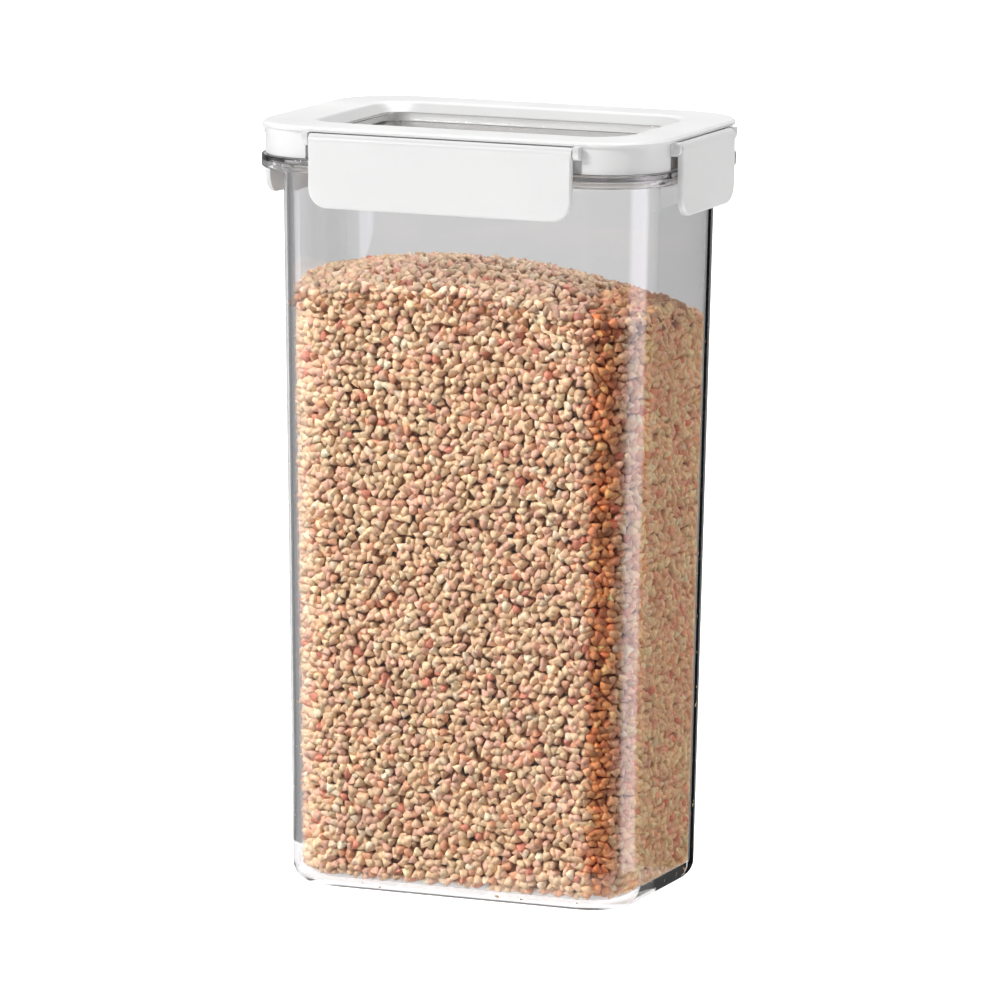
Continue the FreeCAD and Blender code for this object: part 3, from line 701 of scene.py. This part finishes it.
def groat_skin():
    """Hulled grain: each groat's own tint with its painted light and shade, mottled, with a dry matt skin."""
    material, tree, output = new_material("groat_skin")
    tint = add(tree, "Attribute", attribute_name="groat_tint_and_shade")
    skin = place_group(tree, MOULDED_SKIN, Grain_Scale=2500.0, Flow_Scale=700.0)
    mottle = feed_all(tree, add(tree, "HueSaturation"), {
        "Color": tint.outputs["Color"],
        "Value": spread(tree, skin.outputs["Flow"], 0.75, 1.25),
    })
    dress(tree, output, {
        "Base Color": mottle.outputs["Color"],
        "Roughness": 0.55,
        "Normal": raise_by(tree, skin.outputs["Grain"], 0.1 * MM, 0.5),
    })
    return material


def core_shade():
    """Painted shade: the dim gaps deep between the groats."""
    material, tree, output = new_material("food_gap_shade")
    skin = place_group(tree, MOULDED_SKIN, Grain_Scale=900.0, Flow_Scale=300.0)
    dress(tree, output, {
        "Base Color": blend_colours(tree, skin.outputs["Flow"], (0.09, 0.035, 0.012), (0.18, 0.08, 0.03)),
        "Roughness": 0.9,
    })
    return material


def floor_white():
    """A pale table that glows faintly and evenly, brightest to the camera, with painted light near the jar's foot
    that fades by the distance from the foot's rectangle."""
    material, tree, output = new_material("table_white")
    # Painted light: a glow on the table round the jar's foot
    apart = combine(tree, "ABSOLUTE", add(tree, "TexCoord").outputs["Object"], kind="VectorMath")
    beyond = combine(tree, "SUBTRACT", apart, (FOOT[0], FOOT[1], 1.0), kind="VectorMath")
    outside = combine(tree, "MAXIMUM", beyond, (0, 0, 0), kind="VectorMath")
    gap = combine(tree, "LENGTH", outside, kind="VectorMath", output="Value")
    near = remap(tree, gap, stop=FOOT_PAINTED_LIGHT_REACH, low=TABLE_PAINTED_LIGHT_NEAR, high=TABLE_GLOW, smooth=True)
    seen = spread(tree, add(tree, "LightPath").outputs["Is Camera Ray"], TABLE_GLOW, TABLE_GLOW_SEEN)
    skin = place_group(tree, MOULDED_SKIN, Grain_Scale=60.0, Flow_Scale=2.0)
    dress(tree, output, {
        "Base Color": blend_colours(tree, skin.outputs["Flow"], (0.88, 0.88, 0.88), (0.9, 0.9, 0.9)),
        "Roughness": 0.8,
        "Specular IOR Level": 0.1,
        "Emission Color": (1, 1, 1, 1),
        "Emission Strength": combine(tree, "MAXIMUM", near, seen),
    })
    return material


def card_glow(name, colour, strength):
    """A reflecting card's glow, which fades out towards two of its edges."""
    material, tree, output = new_material(name)
    fade = add(tree, "Attribute", attribute_name="card_fade").outputs["Fac"]
    glow = feed_all(tree, add(tree, "Emission"), {
        "Color": (*colour, 1),
        "Strength": spread(tree, fade, 0, strength),
    })
    feed(tree, glow.outputs["Emission"], output.inputs["Surface"])
    return material


# Studio

def table_top():
    """A round pale table: a disc at the foot's height."""
    turn = np.linspace(0, 2 * np.pi, TABLE_STEPS, endpoint=False)
    points = np.stack((TABLE_RADIUS * np.cos(turn), TABLE_RADIUS * np.sin(turn), np.zeros(TABLE_STEPS)), -1)
    table = surface("table", points, np.arange(TABLE_STEPS)[None])
    table.data.materials.append(floor_white())


def reflecting_card(name, side, bearings, strength, colour=(1.0, 1.0, 1.0), fade=0.0, tier=1, gloss=True,
                    through=True, reach=CARD_REACH):
    """A card seen only in gloss, or also through the clear walls: a flat sector of a ring on the table, round the
    centre of the jar's front corner on one side (-1 left, 1 right), between two bearings from the front. Its glow
    rises evenly from both bearings over a share of the card."""
    columns = CARD_STEPS + 1
    bearing = np.radians(np.linspace(*bearings, columns))
    direction = np.stack((np.sin(bearing), -np.cos(bearing)), -1)
    corner = np.array((side, -1)) * (MOUTH[:2] - MOUTH[2])
    rows = corner + np.stack((direction * reach[0], direction * reach[1]))
    points = np.concatenate((rows, np.full((2, columns, 1), tier * CARD_HEIGHT)), -1).reshape(-1, 3)
    step = np.arange(CARD_STEPS)
    card = surface(name, points, np.stack((step, step + columns, step + columns + 1, step + 1), -1))
    share = np.tile(np.linspace(0, 1, columns), 2)
    rise = np.clip(np.minimum(share, 1 - share) / fade, 0, 1) if fade else np.ones(2 * columns)
    card.data.attributes.new("card_fade", "FLOAT", "POINT").data.foreach_set("value", rise.astype(np.float32))
    card.data.materials.append(card_glow(name, colour, strength))
    card.visible_camera = card.visible_shadow = card.visible_diffuse = False
    card.visible_glossy = gloss
    card.visible_transmission = through


def soft_light(name, place, size, power):
    """A square soft box that faces the middle of the part."""
    light = bpy.data.lights.new(name, "AREA")
    light.size = size
    light.energy = power
    box = bpy.data.objects.new(name, light)
    bpy.context.scene.collection.objects.link(box)
    facing = (Vector((0, 0, CAMERA_AIM)) - Vector(place)).to_track_quat("-Z", "Y")
    box.matrix_world = Matrix.Translation(place) @ facing.to_matrix().to_4x4()


def white_surround():
    """An even white surround, brighter to the camera than to the part."""
    world = bpy.data.worlds.new("studio")
    bpy.context.scene.world = world
    world.use_nodes = True
    tree = world.node_tree
    tree.nodes.clear()
    even, seen = (
        feed_all(tree, add(tree, "Background"), {"Color": (1, 1, 1, 1), "Strength": strength}).outputs["Background"]
        for strength in (SURROUND, SURROUND_SEEN)
    )
    output = tree.nodes.new("ShaderNodeOutputWorld")
    choose_shader(tree, output, add(tree, "LightPath").outputs["Is Camera Ray"], even, seen)


def make_studio():
    """Pale table, cards for the gloss, soft boxes over, before and beside the jar, and the surround."""
    table_top()
    for name, side, bearings, strength, settings in CARDS:
        reflecting_card(f"card_{name}", side, bearings, strength, **settings)
    for name, place, size, power in SOFT_BOXES:
        soft_light(f"soft_box_{name}", place, size, power)
    white_surround()
    bpy.context.scene.view_settings.view_transform = "Standard"


def make_camera():
    """The photograph's camera: placed on its bearing and height angle at its distance, with its small roll."""
    bearing, rise, roll = (math.radians(angle) for angle in (CAMERA_BEARING, CAMERA_RISE, CAMERA_ROLL))
    back = Vector((math.sin(bearing) * math.cos(rise), -math.cos(bearing) * math.cos(rise), math.sin(rise)))
    level = Vector((math.cos(bearing), math.sin(bearing), 0))
    upright = back.cross(level)
    right = level * math.cos(roll) + upright * math.sin(roll)
    up = upright * math.cos(roll) - level * math.sin(roll)
    place = Vector((0, 0, CAMERA_AIM)) + right * CAMERA_SIDESTEP + back * CAMERA_DISTANCE
    lens = bpy.data.cameras.new("camera")
    lens.sensor_width = FILM_WIDTH
    lens.lens = CAMERA_LENS
    lens.clip_end = CAMERA_FAR
    camera = bpy.data.objects.new("camera", lens)
    bpy.context.scene.collection.objects.link(camera)
    camera.matrix_world = Matrix.Translation(place) @ Matrix((right, up, back)).transposed().to_4x4()
    bpy.context.scene.camera = camera


def finish_node(name, material):
    """Gives a carried-over solid its finish."""
    slots = nodes[name].data.materials
    slots.clear()
    slots.append(material)


make_camera()
make_studio()
clear = clear_plastic()
make_jar(clear)
make_window(clear)
make_food()
white = white_plastic()
steel = pin_steel()
finish_node("lid_frame", white)
finish_node("seal_ring", silicone())
for side in ("front", "back", "left", "right"):
    finish_node(f"{side}_latch", white)
    finish_node(f"{side}_hinge_pin", steel)
